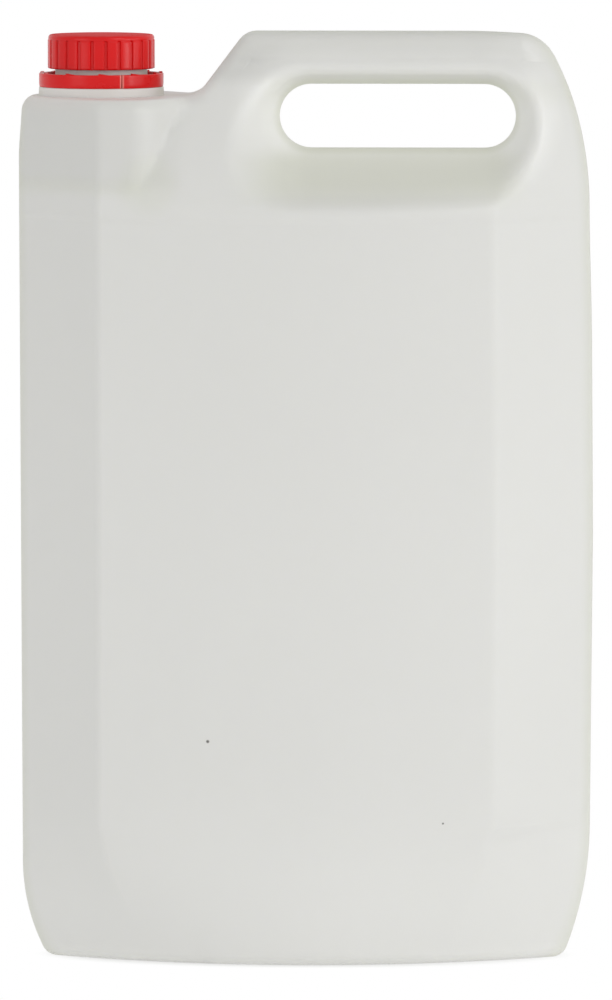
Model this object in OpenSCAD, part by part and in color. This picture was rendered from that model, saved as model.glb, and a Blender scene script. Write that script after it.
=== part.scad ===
// Five-litre water canister: blow-moulded body with a through handle, ribbed screw cap,
// sealing liner and a loose tamper ring. Millimetres, +Z up, front towards -Y.
// The origin lies on the resting plane under the middle of the body.

/* [Body] */
// Width across the moulded body
body_w = 214.4; // [204:0.2:222]
// Depth across the bulged front and back panels
body_d = 100; // [90:1:110]
// Height from the resting plane to the top of the handle bar
body_h = 346; // [330:1:360]
// Thickness of the blown wall
wall = 1; // [0.8:0.1:1.4]
// Rounding along the rim of the front and back faces
edge_r = 5.5; // [4.5:0.1:6]
// Bulge of the front panel between its two creases
panel_bulge = 9; // [5:0.5:12]
// Distance from the left side to the left crease
crease_left = 31.5; // [28:0.5:36]
// Distance from the right side to the right crease
crease_right = 35.5; // [30:0.5:38]
// Half the depth where the chamfers meet the sides
side_half = 8; // [6:0.5:10]
// Height at which the faces start to narrow towards the base
foot_z = 52; // [48:1:60]
// Depth of the recess under the base
base_recess = 3.5; // [2:0.5:5]

/* [Handle] */
// Drop from the bar top to the neck shoulder
shoulder_drop = 23.8; // [21:0.1:27]
// Width of the neck's block, up to the foot of the handle's slope
block_w = 66.8; // [64:0.2:69]
// Width of the handle hole
slot_w = 88.6; // [80:0.2:92]
// Height of the handle hole
slot_h = 24; // [22:0.2:26]
// Distance from the right side to the handle hole
slot_side = 28.5; // [26:0.5:32]
// Height of the bar above the handle hole
bar_h = 19.4; // [17:0.2:22]
// Half the depth of the bar
bar_half = 13; // [11:0.5:16]
// Steepness of the dish walls around the handle hole
dish_slope = 2.1; // [1.6:0.1:2.6]
// Width of the solid pinch rim in the handle hole
pinch_w = 2.5; // [2:0.1:3]

/* [Neck] */
// Distance from the left side to the neck's axis
neck_side = 30.8; // [29:0.2:34]
// Diameter of the collar under the tamper ring
collar_d = 46.5; // [45:0.1:47]
// Height of the collar above the shoulder
collar_h = 3.2; // [2.4:0.1:3.8]
// Height of the neck above the shoulder
neck_h = 20; // [19.4:0.1:20.6]
// Diameter of the neck under the thread
neck_d = 32.6; // [32:0.1:33]
// Diameter of the bead that holds the tamper ring
bead_d = 40.8; // [40:0.1:41.4]
// Diameter of the open mouth
mouth_d = 28; // [25:0.5:29]

/* [Thread] */
// Rise of the thread in one turn
pitch = 4.23; // [4:0.01:4.5]
// Height of the thread above the neck
thread_h = 1.2; // [0.9:0.05:1.3]
// Turns of thread on the neck
neck_turns = 1.5; // [1.1:0.05:1.6]
// Turns of thread in the cap
cap_turns = 1.2; // [0.9:0.05:1.3]
// Clearance between the thread's crest and the wall opposite
thread_gap = 0.4; // [0.3:0.05:0.5]

/* [Cap] */
// Diameter of the cap across its ribs
cap_d = 40.2; // [39.8:0.1:41]
// Height of the cap
cap_h = 12.9; // [12.4:0.1:13.5]
// Gripping ribs around the cap
cap_ribs = 24; // [18:1:30]
// Height of a rib above the grooves beside it
rib_h = 0.7; // [0.4:0.1:0.9]
// Thickness of the top of the cap
cap_top = 1.6; // [1.2:0.1:2]
// Gap between the cap and the tamper ring
cap_gap = 2.1; // [1.8:0.1:2.6]

/* [Tamper ring] */
// Height of the ring without its teeth
ring_h = 4.6; // [4:0.1:5]
// Thickness of the ring's wall
ring_wall = 1.6; // [1.2:0.1:2]
// Height of a ramped tooth
tooth_h = 1; // [0.6:0.1:1.2]
// Ramped teeth around the ring
ring_teeth = 11; // [8:1:14]
// Width of the torn gap in the ring
tear_w = 1.2; // [0.6:0.1:2]

/* [Hidden] */
$fn = 72;

half_w = body_w / 2;
half_d = body_d / 2;
crease_half = half_d - panel_bulge;
left_crease = -half_w + crease_left;
right_crease = half_w - crease_right;
shoulder_z = body_h - shoulder_drop;
step_z = body_h - 68.5;
rim_half = 3;

// Handle hole, its dish and the leg that leans in to the bar
slot_x = half_w - slot_side - slot_w / 2;
slot_z = body_h - bar_h - slot_h / 2;
slot_arm = (slot_w - slot_h) / 2;
hole_edge = 4;
pinch_half = 1.5;
dish_start = 1.5;
leg_top = body_h - 10;
leg_slope = 0.8;
block_slope = 1.6;
block_lean = 0.484;
block_foot = [-half_w + block_w - 17.8, step_z + 14.5];
blend_r = 8;

// The base narrows along an arc, and the creases run inwards below the foot line
taper_z = 35.4;
taper_r = 73;
crease_run = 18;

// Columns of the face: left crease, near edge of the dish, right crease, far edge, right side
crease_col = 3;
dish_col = 10;
right_col = 19;
far_col = 22;
cols = 25;
// Rows of the face: foot, step line, lower and upper edge of the dish, top
foot_row = 5;
step_row = 9;
dish_row = 10;
bar_row = 15;
rows = 16;
dish_rings = 6;
dish_low = 7.5;
bar_in = 1.5;

function mix(a, b, t) = a + (b - a) * t;
function clamp(t) = max(0, min(1, t));
function turned(v, a) = [v.x * cos(a) - v.y * sin(a), v.x * sin(a) + v.y * cos(a)];
function flat(v) = [v[0], v[1]];
function heading(p, k) = let(d = flat(p[k + 1]) - flat(p[k])) d / norm(d);
function bend(p, k) =
    k == 0 || k == len(p) - 1 ? 0 :
    let(a = heading(p, k - 1), b = heading(p, k)) atan2(cross(a, b), a * b);
function tangent(p, k) = p[k][2] * tan(abs(bend(p, k)) / 2);

// Point and left-hand normal on a line of [x, z, rounding] corners. The parameter is the
// corner number plus 0 to 0.5 along its arc, or plus 0.5 to 1 along the straight after it.
function along(p, q) =
    let(k = floor(q), f = q - k)
    f <= 0.5 && k > 0
    ? let(d = heading(p, k - 1), phi = bend(p, k), s = phi < 0 ? -1 : 1,
          start = flat(p[k]) - d * tangent(p, k), arm = turned(d, 90 * s) * p[k][2])
      [start + arm - turned(arm, phi * 2 * f), turned(d, 90 + phi * 2 * f)]
    : let(d = heading(p, k), a = flat(p[k]) + d * tangent(p, k),
          b = flat(p[k + 1]) - d * tangent(p, k + 1))
      [mix(a, b, max(0, f - 0.5) * 2), turned(d, 90)];

// Parameter on the straight after corner k that lies at height z
function at_level(p, k, z) =
    let(a = along(p, k + 0.5)[0].y, b = along(p, k + 1)[0].y) k + 0.5 + 0.5 * (z - a) / (b - a);

left_path = [
    [-half_w + 30, 0, 0],
    [-half_w + 10, 0, edge_r],
    [-half_w + 1.2, 19.9, taper_r],
    [-half_w, shoulder_z, edge_r],
    [-half_w + 30, shoulder_z, 0]];
right_path = [
    [half_w - 30, 0, 0],
    [half_w - 10.7, 0, edge_r],
    [half_w - 1.2, 27.1, 134],
    [half_w, body_h * 0.46, 0],
    [half_w - 1, body_h - 35, 130],
    [half_w - 17.7, body_h, 14],
    [0, body_h, 0]];
top_path = [
    [-half_w + edge_r, shoulder_z, 0],
    [-half_w + block_w, shoulder_z, 10],
    [-half_w + block_w + shoulder_drop * 0.755, body_h, 7.5],
    [half_w - 17.7, body_h, 14],
    [half_w - 1, body_h - 35, 0]];

// Outline points with inward normals, by side
function on_left(q) = let(a = along(left_path, q)) [a[0], -a[1]];
function on_right(q) = along(right_path, q);
function on_top(q) = let(a = along(top_path, q)) [a[0], -a[1]];
function inset(a, e) = a[0] + a[1] * e;

// Places of the rows along the sides and of the columns along the top
foot_l = at_level(left_path, 2, foot_z);
step_l = at_level(left_path, 2, step_z);
dish_l = at_level(left_path, 2, step_z + dish_low);
bar_l = at_level(left_path, 2, shoulder_z - edge_r - bar_in);
foot_r = at_level(right_path, 2, foot_z);
step_r = at_level(right_path, 3, step_z);
left_marks = concat(
    [1.5, 2, 2.17, 2.33, 2.5],
    [for (t = [0 : 0.25 : 0.75]) mix(foot_l, step_l, t)],
    [step_l],
    [for (t = [0 : 4]) mix(dish_l, bar_l, t / 5)],
    [bar_l, 3]);
right_marks = [1.5, 2, 2.17, 2.33, 2.5,
    foot_r, mix(foot_r, 3, 0.5), 3.25, mix(3.5, step_r, 0.5), step_r,
    4.03, 4.13, 4.23, 4.33, 4.43, 5.12, 5.25];
crease_mark = 0.5 + 0.5 * (crease_left - edge_r) / (along(top_path, 1)[0].x - top_path[0].x);
top_marks = concat(
    [for (t = [0 : crease_col]) mix(0.5, crease_mark, t / crease_col)],
    [mix(crease_mark, 1, 0.34), mix(crease_mark, 1, 0.67), 1, 1.25, 1.5, 2],
    [for (t = [0 : 10]) mix(2.5, 3, t / 11)],
    [3, 3.12, 3.165, 3.21, 3.25]);

// Value at column i between the five named columns
function by_column(i, v) =
    i <= crease_col ? mix(v[0], v[1], i / crease_col) :
    i <= dish_col ? mix(v[1], v[2], (i - crease_col) / (dish_col - crease_col)) :
    i <= right_col ? mix(v[2], v[3], (i - dish_col) / (right_col - dish_col)) :
    mix(v[3], v[4], (i - right_col) / (cols - right_col));
function level_line(a, b, run) = [for (i = [0 : cols]) [
    by_column(i, [a.x, left_crease + run, dish_near, right_crease - run, b.x]),
    by_column(i, [a.y, a.y, a.y, b.y, b.y])]];
dish_near = slot_x - slot_w / 2 - 22;

// Rows between two lines of points whose ends follow the sides
function filled(a, b, row, count) =
    [for (j = [0 : count - 1]) let(t = j / count,
        l = inset(on_left(left_marks[row + j]), edge_r),
        r = inset(on_right(right_marks[row + j]), edge_r))
        [for (i = [0 : cols]) let(s = (a[i].x - a[0].x) / (a[cols].x - a[0].x))
            mix(a[i], b[i], t)
            + (l - mix(a[0], b[0], t)) * (1 - s)
            + (r - mix(a[cols], b[cols], t)) * s]];
function side_line(row, run) = level_line(
    inset(on_left(left_marks[row]), edge_r), inset(on_right(right_marks[row]), edge_r), run);
top_line = [for (q = top_marks) inset(on_top(q), edge_r)];
bar_end = inset(on_right(right_marks[bar_row]), edge_r);
bar_line = [for (i = [0 : cols])
    let(p = inset(on_top(top_marks[min(i, far_col)]), edge_r + bar_in))
    i <= far_col ? p : mix(p, bar_end, (i - far_col) / (cols - far_col))];

// Places of the grid seen from the front: each row is a list of [x, z]
grid = concat(
    filled(side_line(0, crease_run), side_line(foot_row, 0), 0, foot_row),
    filled(side_line(foot_row, 0), side_line(step_row, 0), foot_row, step_row - foot_row),
    [side_line(step_row, 0)],
    filled(side_line(dish_row, 0), bar_line, dish_row, bar_row - dish_row),
    [bar_line, top_line]);

// Point of the hole's rim grown by e; side 0 to 3 is bottom, right, top, left
function hole_rim(side, u, e) =
    let(r = slot_h / 2 + e, a = side * 90 - 135,
        long = side == 0 || side == 2, w = 1 / 6,
        turn = !long ? 90 * u : u < w ? 45 * u / w : u > 1 - w ? 90 - 45 * (1 - u) / w : 45,
        slide = !long ? 1 : clamp((u - w) / (1 - 2 * w)) * 2 - 1,
        x = slot_arm * (side == 0 ? slide : side == 1 ? 1 : side == 2 ? -slide : -1))
    [slot_x + x + r * cos(a + turn), slot_z + r * sin(a + turn)];

// Ring of the dish, counter-clockwise: [place in the grid, side of the hole, share of the side]
wide = far_col - dish_col;
tall = bar_row - dish_row;
function grid_place(r, i) = r * (cols + 1) + i;
dish_loop = concat(
    [for (k = [0 : wide - 1]) [grid_place(dish_row, dish_col + k), 0, k / wide]],
    [for (k = [0 : tall - 1]) [grid_place(dish_row + k, far_col), 1, k / tall]],
    [for (k = [0 : wide - 1]) [grid_place(bar_row, far_col - k), 2, k / wide]],
    [for (k = [0 : tall - 1]) [grid_place(bar_row - k, dish_col), 3, k / tall]]);
ring_size = len(dish_loop);

// Side, creases and side that the depth is measured between, under and over the step line
function row_guides(row) =
    [row[0].x - edge_r, row[crease_col].x, row[right_col].x, row[cols].x + edge_r];
arc_start = along(right_path, 4)[0];
function upper_guides(z) = [-half_w, left_crease, right_crease,
    arc_start.x - 130 + sqrt(pow(130, 2) - pow(max(0, z - arc_start.y), 2))];
row_of_guides = [for (r = [0 : step_row]) row_guides(grid[r])];
function guides(r, z) = r < step_row ? row_of_guides[r] : upper_guides(z);
function spot_row(k) = k < len(grid_spots) ? floor(k / (cols + 1)) : rows;

function taper(z) = z > taper_z ? 1 :
    1 - (taper_r - sqrt(taper_r * taper_r - pow(taper_z - z, 2))) / half_d;
function soft_min(a, b) =
    let(h = max(0, blend_r - abs(a - b))) min(a, b) - h * h / (4 * blend_r);
function hole_gap(x, z) = norm([max(abs(x - slot_x) - slot_arm, 0), z - slot_z]) - slot_h / 2;

function creased_half(x, g) =
    x < g[1] ? mix(side_half, crease_half, (x - g[0]) / (g[1] - g[0])) :
    x > g[2] ? mix(side_half, crease_half, (g[3] - x) / (g[3] - g[2])) :
    crease_half + panel_bulge * (1 - pow((2 * x - g[1] - g[2]) / (g[2] - g[1]), 2));
// Near the base the creases fade into one arc from side to side
function arc_half(x, g) =
    side_half + (half_d - side_half) * (1 - pow((2 * x - g[0] - g[3]) / (g[3] - g[0]), 2));
function panel_half(x, z, g) = taper(z)
    * mix(creased_half(x, g), arc_half(x, g), pow(clamp((foot_z - z) / (foot_z - edge_r)), 1.5));
function leg_half(x, z) =
    bar_half + leg_slope * max(0, leg_top - z)
    + block_slope * max(0, block_foot.x + (z - block_foot.y) * block_lean - x);
function dish_half(x, z) = bar_half - 3 + dish_slope * (hole_gap(x, z) - dish_start);
// Half the depth of the body at a place of the face
function half_depth(x, z, g) =
    z < step_z ? panel_half(x, z, g) :
    soft_min(soft_min(panel_half(x, z, g), leg_half(x, z)), dish_half(x, z));

grid_spots = [for (row = grid, p = row) p];
// Share of the way from p to the hole's edge q where the dish starts, found in n steps from f
function dish_share(p, q, f, n) = n == 0 ? f :
    let(s = mix(p, q, f), around = min(panel_half(s.x, s.y, upper_guides(s.y)), leg_half(s.x, s.y)),
        gap = (around - bar_half + 3) / dish_slope + dish_start,
        reach = (hole_gap(p.x, p.y) - gap) / (hole_gap(p.x, p.y) - hole_edge))
    dish_share(p, q, max(0.12, min(0.75, reach)), n - 1);
dish_edge = [for (m = dish_loop)
    dish_share(grid_spots[m[0]], hole_rim(m[1], m[2], hole_edge), 0.3, 4)];
ring_spots = [for (j = [0 : dish_rings - 1], k = [0 : ring_size - 1]) let(m = dish_loop[k])
    mix(grid_spots[m[0]], hole_rim(m[1], m[2], hole_edge),
        mix(dish_edge[k], 1, j / (dish_rings - 1)))];
spots = concat(grid_spots, ring_spots);
function ring_place(j, k) = let(m = k % ring_size)
    j == 0 ? dish_loop[m][0] : len(grid_spots) + (j - 1) * ring_size + m;

// Half the depth at every place of the face
face_depth = [for (k = [0 : len(spots) - 1])
    half_depth(spots[k].x, spots[k].y, guides(spot_row(k), spots[k].y))];

// Growth of a wall's thickness along Y where the face is steep
function lean(x, z, r) =
    norm([1, half_depth(x + 0.5, z, guides(r, z)) - half_depth(x - 0.5, z, guides(r, z)),
        half_depth(x, z + 0.5, guides(r, z)) - half_depth(x, z - 0.5, guides(r, z))]);

// Rims of the face and of the hole: [place, outline point], with the material on the left
rim = concat(
    [for (i = [0 : cols]) [grid_place(0, i), [grid[0][i].x, 0]]],
    [for (q = [1.17, 1.33]) [grid_place(0, cols), on_right(q)[0]]],
    [for (r = [0 : rows - 1]) [grid_place(r, cols), on_right(right_marks[r])[0]]],
    [for (i = [cols : -1 : 0]) [grid_place(rows, i), on_top(top_marks[i])[0]]],
    [for (q = [3.33, 3.17]) [grid_place(rows, 0), on_left(q)[0]]],
    [for (r = [rows : -1 : 0]) [grid_place(r, 0), on_left(left_marks[r])[0]]],
    [for (q = [1.33, 1.17]) [grid_place(0, 0), on_left(q)[0]]]);
hole = [for (k = [ring_size - 1 : -1 : 0])
    [ring_place(dish_rings, k), hole_rim(dish_loop[k][1], dish_loop[k][2], 0)]];

// One closed skin of the body, moved inwards by w (in the hole by hole_w)
module skin(w, hole_w, steps) {
    count = len(spots);
    depth = [for (k = [0 : count - 1])
        face_depth[k] - (w > 0 ? w * lean(spots[k].x, spots[k].y, spot_row(k)) : 0)];
    // Points of an edge band: a curve from the face to the flat rim, then the flat's two lines
    function band(loop, e, w, low, back) = [for (s = [1 : steps + 2], m = loop)
        let(t = min(1, s / steps), p = spots[m[0]], d = depth[m[0]], o = m[1], r = spot_row(m[0]),
            tip = max(1, half_depth(o.x, o.y, guides(r, o.y))),
            c = d - (face_depth[m[0]] - tip) / e * (e - w), f = max(low, tip - e) * c / tip,
            y = pow(1 - t, 2) * d + 2 * t * (1 - t) * c + t * t * f,
            q = mix(o, p, (w + (e - w) * pow(1 - t, 2)) / e),
            lift = o.y == 0 && s == steps + 2 ? base_recess * clamp((f - 14) / 12) : 0)
        [q.x, back * y * (s <= steps ? 1 : s == steps + 1 ? 0.85 : 0.6), q.y + lift]];
    n = len(rim);
    h = len(hole);
    layers = steps + 2;
    points = concat(
        [for (k = [0 : count - 1]) [spots[k].x, -depth[k], spots[k].y]],
        [for (k = [0 : count - 1]) [spots[k].x, depth[k], spots[k].y]],
        band(rim, edge_r, w, rim_half, -1), band(rim, edge_r, w, rim_half, 1),
        band(hole, hole_edge, hole_w, pinch_half, -1), band(hole, hole_edge, hole_w, pinch_half, 1));
    // Number of the band point k in layer s, counted from the front face to the back face
    function band_id(loop, start, size, k, s) =
        let(m = k % size)
        s == 0 ? loop[m][0] :
        s == 2 * layers + 1 ? count + loop[m][0] :
        s <= layers ? start + (s - 1) * size + m :
        start + layers * size + (2 * layers - s) * size + m;
    function strips(loop, start, size) = [for (k = [0 : size - 1], s = [0 : 2 * layers])
        let(a = band_id(loop, start, size, k, s), b = band_id(loop, start, size, k + 1, s),
            c = band_id(loop, start, size, k + 1, s + 1), d = band_id(loop, start, size, k, s + 1))
        each [if (a != b) [a, b, c], if (c != d) [a, c, d]]];
    // Two triangles of a cell, cut along the diagonal that is nearer to level
    function split(a, b, c, d) =
        abs(face_depth[a] - face_depth[c]) <= abs(face_depth[b] - face_depth[d])
        ? [[a, b, c], [a, c, d]] : [[b, c, d], [b, d, a]];
    face = concat(
        [for (r = [0 : rows - 1], i = [0 : cols - 1])
            if (r < dish_row || r >= bar_row || i < dish_col || i >= far_col)
            each split(grid_place(r, i), grid_place(r + 1, i),
                grid_place(r + 1, i + 1), grid_place(r, i + 1))],
        [for (j = [0 : dish_rings - 1], k = [0 : ring_size - 1])
            each split(ring_place(j, k), ring_place(j + 1, k),
                ring_place(j + 1, k + 1), ring_place(j, k + 1))]);
    polyhedron(points, concat(
        face,
        [for (f = face) [count + f[0], count + f[2], count + f[1]]],
        strips(rim, 2 * count, n),
        strips(hole, 2 * count + 2 * layers * n, h)));
}

// Seats of the neck, the ring, the cap and the thread, above one another
neck_x = -half_w + neck_side;
ring_z = shoulder_z + collar_h;
bead_z = ring_z + 1.6;
cap_z = ring_z + ring_h + cap_gap;
neck_top = shoulder_z + neck_h;
thread_z = cap_z + 2.5;
thread_angle = 40;
neck_r = neck_d / 2;
bore_r = neck_r + thread_h + thread_gap;
waist_r = bead_d / 2 - 2.4;

// Helical thread on a cylinder of radius r, growing by h (negative: inwards)
module thread(r, h, turns, start_z) {
    per_turn = 36;
    count = round(turns * per_turn);
    root = 1.1;
    crest = 0.45;
    bury = h > 0 ? -0.4 : 0.4;
    section = [for (k = [0 : count])
        let(a = thread_angle + k * 360 / per_turn, z = start_z + k * pitch / per_turn,
            grow = min(1, (min(k, count - k) + 0.4) / 4))
        each [for (c = [[bury, -root], [h * grow, -crest], [h * grow, crest], [bury, root]])
            [(r + c[0]) * cos(a), (r + c[0]) * sin(a), z + c[1]]]];
    sides = [for (k = [0 : count - 1], c = [0 : 3])
        let(a = 4 * k + c, b = 4 * k + (c + 1) % 4)
        each [[a, a + 4, b + 4], [a, b + 4, b]]];
    last = 4 * count;
    ends = [[0, 1, 2], [0, 2, 3], [last + 2, last + 1, last], [last + 3, last + 2, last]];
    polyhedron(section, [for (f = concat(sides, ends)) h < 0 ? f : [f[2], f[1], f[0]]]);
}

module neck() {
    translate([neck_x, 0, 0]) {
        rotate_extrude() polygon([
            [0, shoulder_z - 3], [collar_d / 2 + 1, shoulder_z - 3],
            [collar_d / 2 + 1, shoulder_z - 0.4], [collar_d / 2, shoulder_z + 0.6],
            [collar_d / 2, ring_z], [waist_r, ring_z],
            [waist_r, bead_z], [bead_d / 2, bead_z + 0.2], [bead_d / 2, bead_z + 0.9],
            [neck_r + 0.9, bead_z + 2.8], [neck_r + 0.9, cap_z + 0.8], [neck_r, cap_z + 1.4],
            [neck_r, neck_top - 0.6], [neck_r - 0.6, neck_top], [0, neck_top]]);
        thread(neck_r, thread_h, neck_turns, thread_z);
    }
}

module canister_body() {
    color([0.86, 0.86, 0.83]) difference() {
        union() {
            skin(0, 0, 3);
            neck();
        }
        skin(wall, pinch_w, 2);
        translate([neck_x, 0, shoulder_z - 4]) cylinder(d = mouth_d, h = neck_h + 5);
    }
}

module screw_cap() {
    skirt_r = cap_d / 2 - rib_h;
    step = 360 / cap_ribs;
    color([0.8, 0.12, 0.12]) translate([neck_x, 0, cap_z]) {
        difference() {
            union() {
                rotate_extrude() polygon([
                    [0, 0], [skirt_r, 0], [skirt_r, cap_h - 2.2], [skirt_r + 0.3, cap_h - 1.4],
                    [skirt_r, cap_h - 0.4], [skirt_r - 0.8, cap_h], [0, cap_h]]);
                linear_extrude(cap_h - 1.4) polygon([for (k = [0 : cap_ribs - 1])
                    each [for (c = [[-0.4, -0.2], [-0.33, rib_h], [0.33, rib_h], [0.4, -0.2]])
                        let(a = (k + c[0]) * step, r = skirt_r + c[1]) r * [cos(a), sin(a)]]]);
            }
            translate([0, 0, -1]) cylinder(r = bore_r, h = cap_h - cap_top + 1);
        }
        thread(bore_r, -thread_h, cap_turns, thread_z - cap_z + pitch / 2);
    }
}

module sealing_liner() {
    color([0.93, 0.93, 0.9]) translate([neck_x, 0, neck_top])
        cylinder(r = bore_r - thread_h - 2 * thread_gap, h = cap_z + cap_h - cap_top - neck_top);
}

module tamper_ring() {
    outer = collar_d / 2;
    lip_r = waist_r + 0.6;
    color([0.8, 0.12, 0.12]) translate([neck_x, 0, ring_z]) difference() {
        union() {
            rotate_extrude() polygon([
                [lip_r, 0], [outer, 0], [outer, ring_h], [outer - ring_wall, ring_h],
                [outer - ring_wall, 1], [lip_r, 1]]);
            for (k = [0 : ring_teeth - 1]) rotate([0, 0, (k + 0.4) * 360 / ring_teeth])
                translate([outer - 0.3, 0, ring_h - 0.5]) rotate([90, 0, -90])
                    linear_extrude(ring_wall - 0.4)
                        polygon([[-2, 0], [2, 0], [2, 0.6], [-2, tooth_h + 0.5]]);
        }
        rotate([0, 0, -68]) translate([lip_r - 1, -tear_w / 2, -1])
            cube([outer - lip_r + 2, tear_w, ring_h + tooth_h + 2]);
    }
}

canister_body();
screw_cap();
sealing_liner();
tamper_ring();
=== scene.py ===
"""A five-litre water canister of natural polyethylene with a red screw cap.

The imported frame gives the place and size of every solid. The moulded body, the neck, the cap and
the tamper ring are finer surfaces over their solids, worked out from the same outlines.
"""

import bpy
import numpy as np
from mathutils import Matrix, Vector


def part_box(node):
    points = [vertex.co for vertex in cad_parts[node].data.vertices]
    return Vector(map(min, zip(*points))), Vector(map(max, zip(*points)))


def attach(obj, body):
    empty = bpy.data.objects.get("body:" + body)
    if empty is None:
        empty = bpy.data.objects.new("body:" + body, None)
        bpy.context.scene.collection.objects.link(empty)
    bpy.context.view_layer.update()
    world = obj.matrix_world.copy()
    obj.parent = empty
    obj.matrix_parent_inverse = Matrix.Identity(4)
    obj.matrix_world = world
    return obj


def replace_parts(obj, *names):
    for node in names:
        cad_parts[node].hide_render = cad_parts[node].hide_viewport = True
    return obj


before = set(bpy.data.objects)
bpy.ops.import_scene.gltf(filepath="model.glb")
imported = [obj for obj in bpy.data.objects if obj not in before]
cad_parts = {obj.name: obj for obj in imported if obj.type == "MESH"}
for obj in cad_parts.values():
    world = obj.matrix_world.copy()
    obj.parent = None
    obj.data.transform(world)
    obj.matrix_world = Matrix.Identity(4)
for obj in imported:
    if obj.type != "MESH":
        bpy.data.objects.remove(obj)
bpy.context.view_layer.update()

MM = 0.001
TAU = 2 * np.pi

# Sizes of the body, from the frame where it gives them
body_high = np.array(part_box("canister_body")[1])
cap_low, cap_high = (np.array(corner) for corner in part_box("screw_cap"))
ring_low = np.array(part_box("tamper_ring")[0])
HALF_W = 107.2 * MM
BODY_H = body_high[2]
HALF_D = 50 * MM
NECK_X = -HALF_W + 30.8 * MM
RING_Z = ring_low[2]
SHOULDER_Z = RING_Z - 3.2 * MM
SHOULDER_DROP = BODY_H - SHOULDER_Z
WALL = 1.0 * MM
EDGE = 5.5 * MM
PANEL_BULGE = 9 * MM
CREASE_LEFT = -HALF_W + 31.5 * MM
CREASE_RIGHT = HALF_W - 35.5 * MM
CREASE_RUN = 18 * MM
SIDE_HALF = 8 * MM
CREASE_HALF = HALF_D - PANEL_BULGE
RIM_HALF = 3 * MM
FOOT_Z = 52 * MM
KINK_Z = BODY_H * 0.46
STEP_Z = BODY_H - 68.5 * MM
TAPER_Z = 35.4 * MM
TAPER_R = 73 * MM
BASE_RECESS = 3.5 * MM

# The handle: its hole, the dish around the hole and the leg that leans in to the bar
SLOT_X = 34.4 * MM
SLOT_HALF_H = 12 * MM
SLOT_ARM = 32.3 * MM
SLOT_Z = BODY_H - 19.4 * MM - SLOT_HALF_H
BAR_HALF = 13 * MM
BAR_IN = 1.5 * MM
DISH_NEAR = -31.9 * MM
DISH_LOW = 7.5 * MM
DISH_SLOPE = 2.1
HOLE_EDGE = 4 * MM
PINCH_HALF = 1.5 * MM
PINCH_W = 2.5 * MM
LEG_BEND_R = 130 * MM

# Half the side of the square opening in the shoulder that the collar covers
WINDOW = 15.6 * MM
# Layers of the rim's flat: over 1 outside the window's edge, under 1 inside it
RIM_FLATS = [1.7, 1.4, 1, 0.4, 0.12, 0]
# Height of the mould's parting line
SEAM_RIDGE = 0.12 * MM


def mix(a, b, t):
    """The value a where t is 0, b where it is 1, and even steps between them."""
    return a + (b - a) * t


def ease(t):
    """Smooth step from 0 to 1 with level ends."""
    t = np.clip(t, 0, 1)
    return t * t * (3 - 2 * t)


class Outline:
    """Straight stretches with rounded corners, in the XZ plane.

    A place q on it is the corner's number plus 0 to 0.5 along the corner's arc, or plus 0.5 to 1
    along the straight after it. The inside lies to the left of travel where side is 1.
    """

    def __init__(self, corners, side):
        c = np.array(corners, float)
        self.side = side
        step = np.diff(c[:, :2], axis=0)
        self.way = step / np.linalg.norm(step, axis=1)[:, None]
        before, after = self.way[:-1], self.way[1:]
        cross = before[:, 0] * after[:, 1] - before[:, 1] * after[:, 0]
        self.bend = np.concatenate([[0], np.arctan2(cross, (before * after).sum(1)), [0]])
        self.radius = c[:, 2]
        cut = self.radius * np.tan(np.abs(self.bend) / 2)
        into = np.vstack([self.way[:1], self.way])
        out = np.vstack([self.way, self.way[-1:]])
        self.start = c[:, :2] - into * cut[:, None]
        self.end = c[:, :2] + out * cut[:, None]
        self.into = into

    def at(self, q):
        """Points and inward normals at the places q."""
        q = np.atleast_1d(np.asarray(q, float))
        k = np.floor(q).astype(int)
        f = q - k
        on_arc = (f <= 0.5) & (k > 0)
        straight = np.clip(f - 0.5, 0, 1)[:, None] * 2
        ahead = np.minimum(k + 1, len(self.start) - 1)
        line = mix(self.end[k], self.start[ahead], straight)
        turn = self.bend[k] * np.clip(2 * f, 0, 1)
        sign = np.where(self.bend[k] < 0, -1.0, 1.0)
        way = self.into[k]
        left = np.stack([-way[:, 1], way[:, 0]], 1)
        arm = left * (self.radius[k] * sign)[:, None]
        c, s = np.cos(turn)[:, None], np.sin(turn)[:, None]
        now = arm * c + np.stack([-arm[:, 1], arm[:, 0]], 1) * s
        left = left * c + np.stack([-left[:, 1], left[:, 0]], 1) * s
        flat_way = self.way[np.minimum(k, len(self.way) - 1)]
        flat_left = np.stack([-flat_way[:, 1], flat_way[:, 0]], 1)
        point = np.where(on_arc[:, None], self.start[k] + arm - now, line)
        return point, np.where(on_arc[:, None], left, flat_left) * self.side

    def inset(self, q, e):
        point, normal = self.at(q)
        return point + normal * e

    def level(self, k, z):
        """Place on the straight after corner k at height z."""
        a, b = self.end[k][1], self.start[k + 1][1]
        return k + 0.5 + 0.5 * (z - a) / (b - a)


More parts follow.
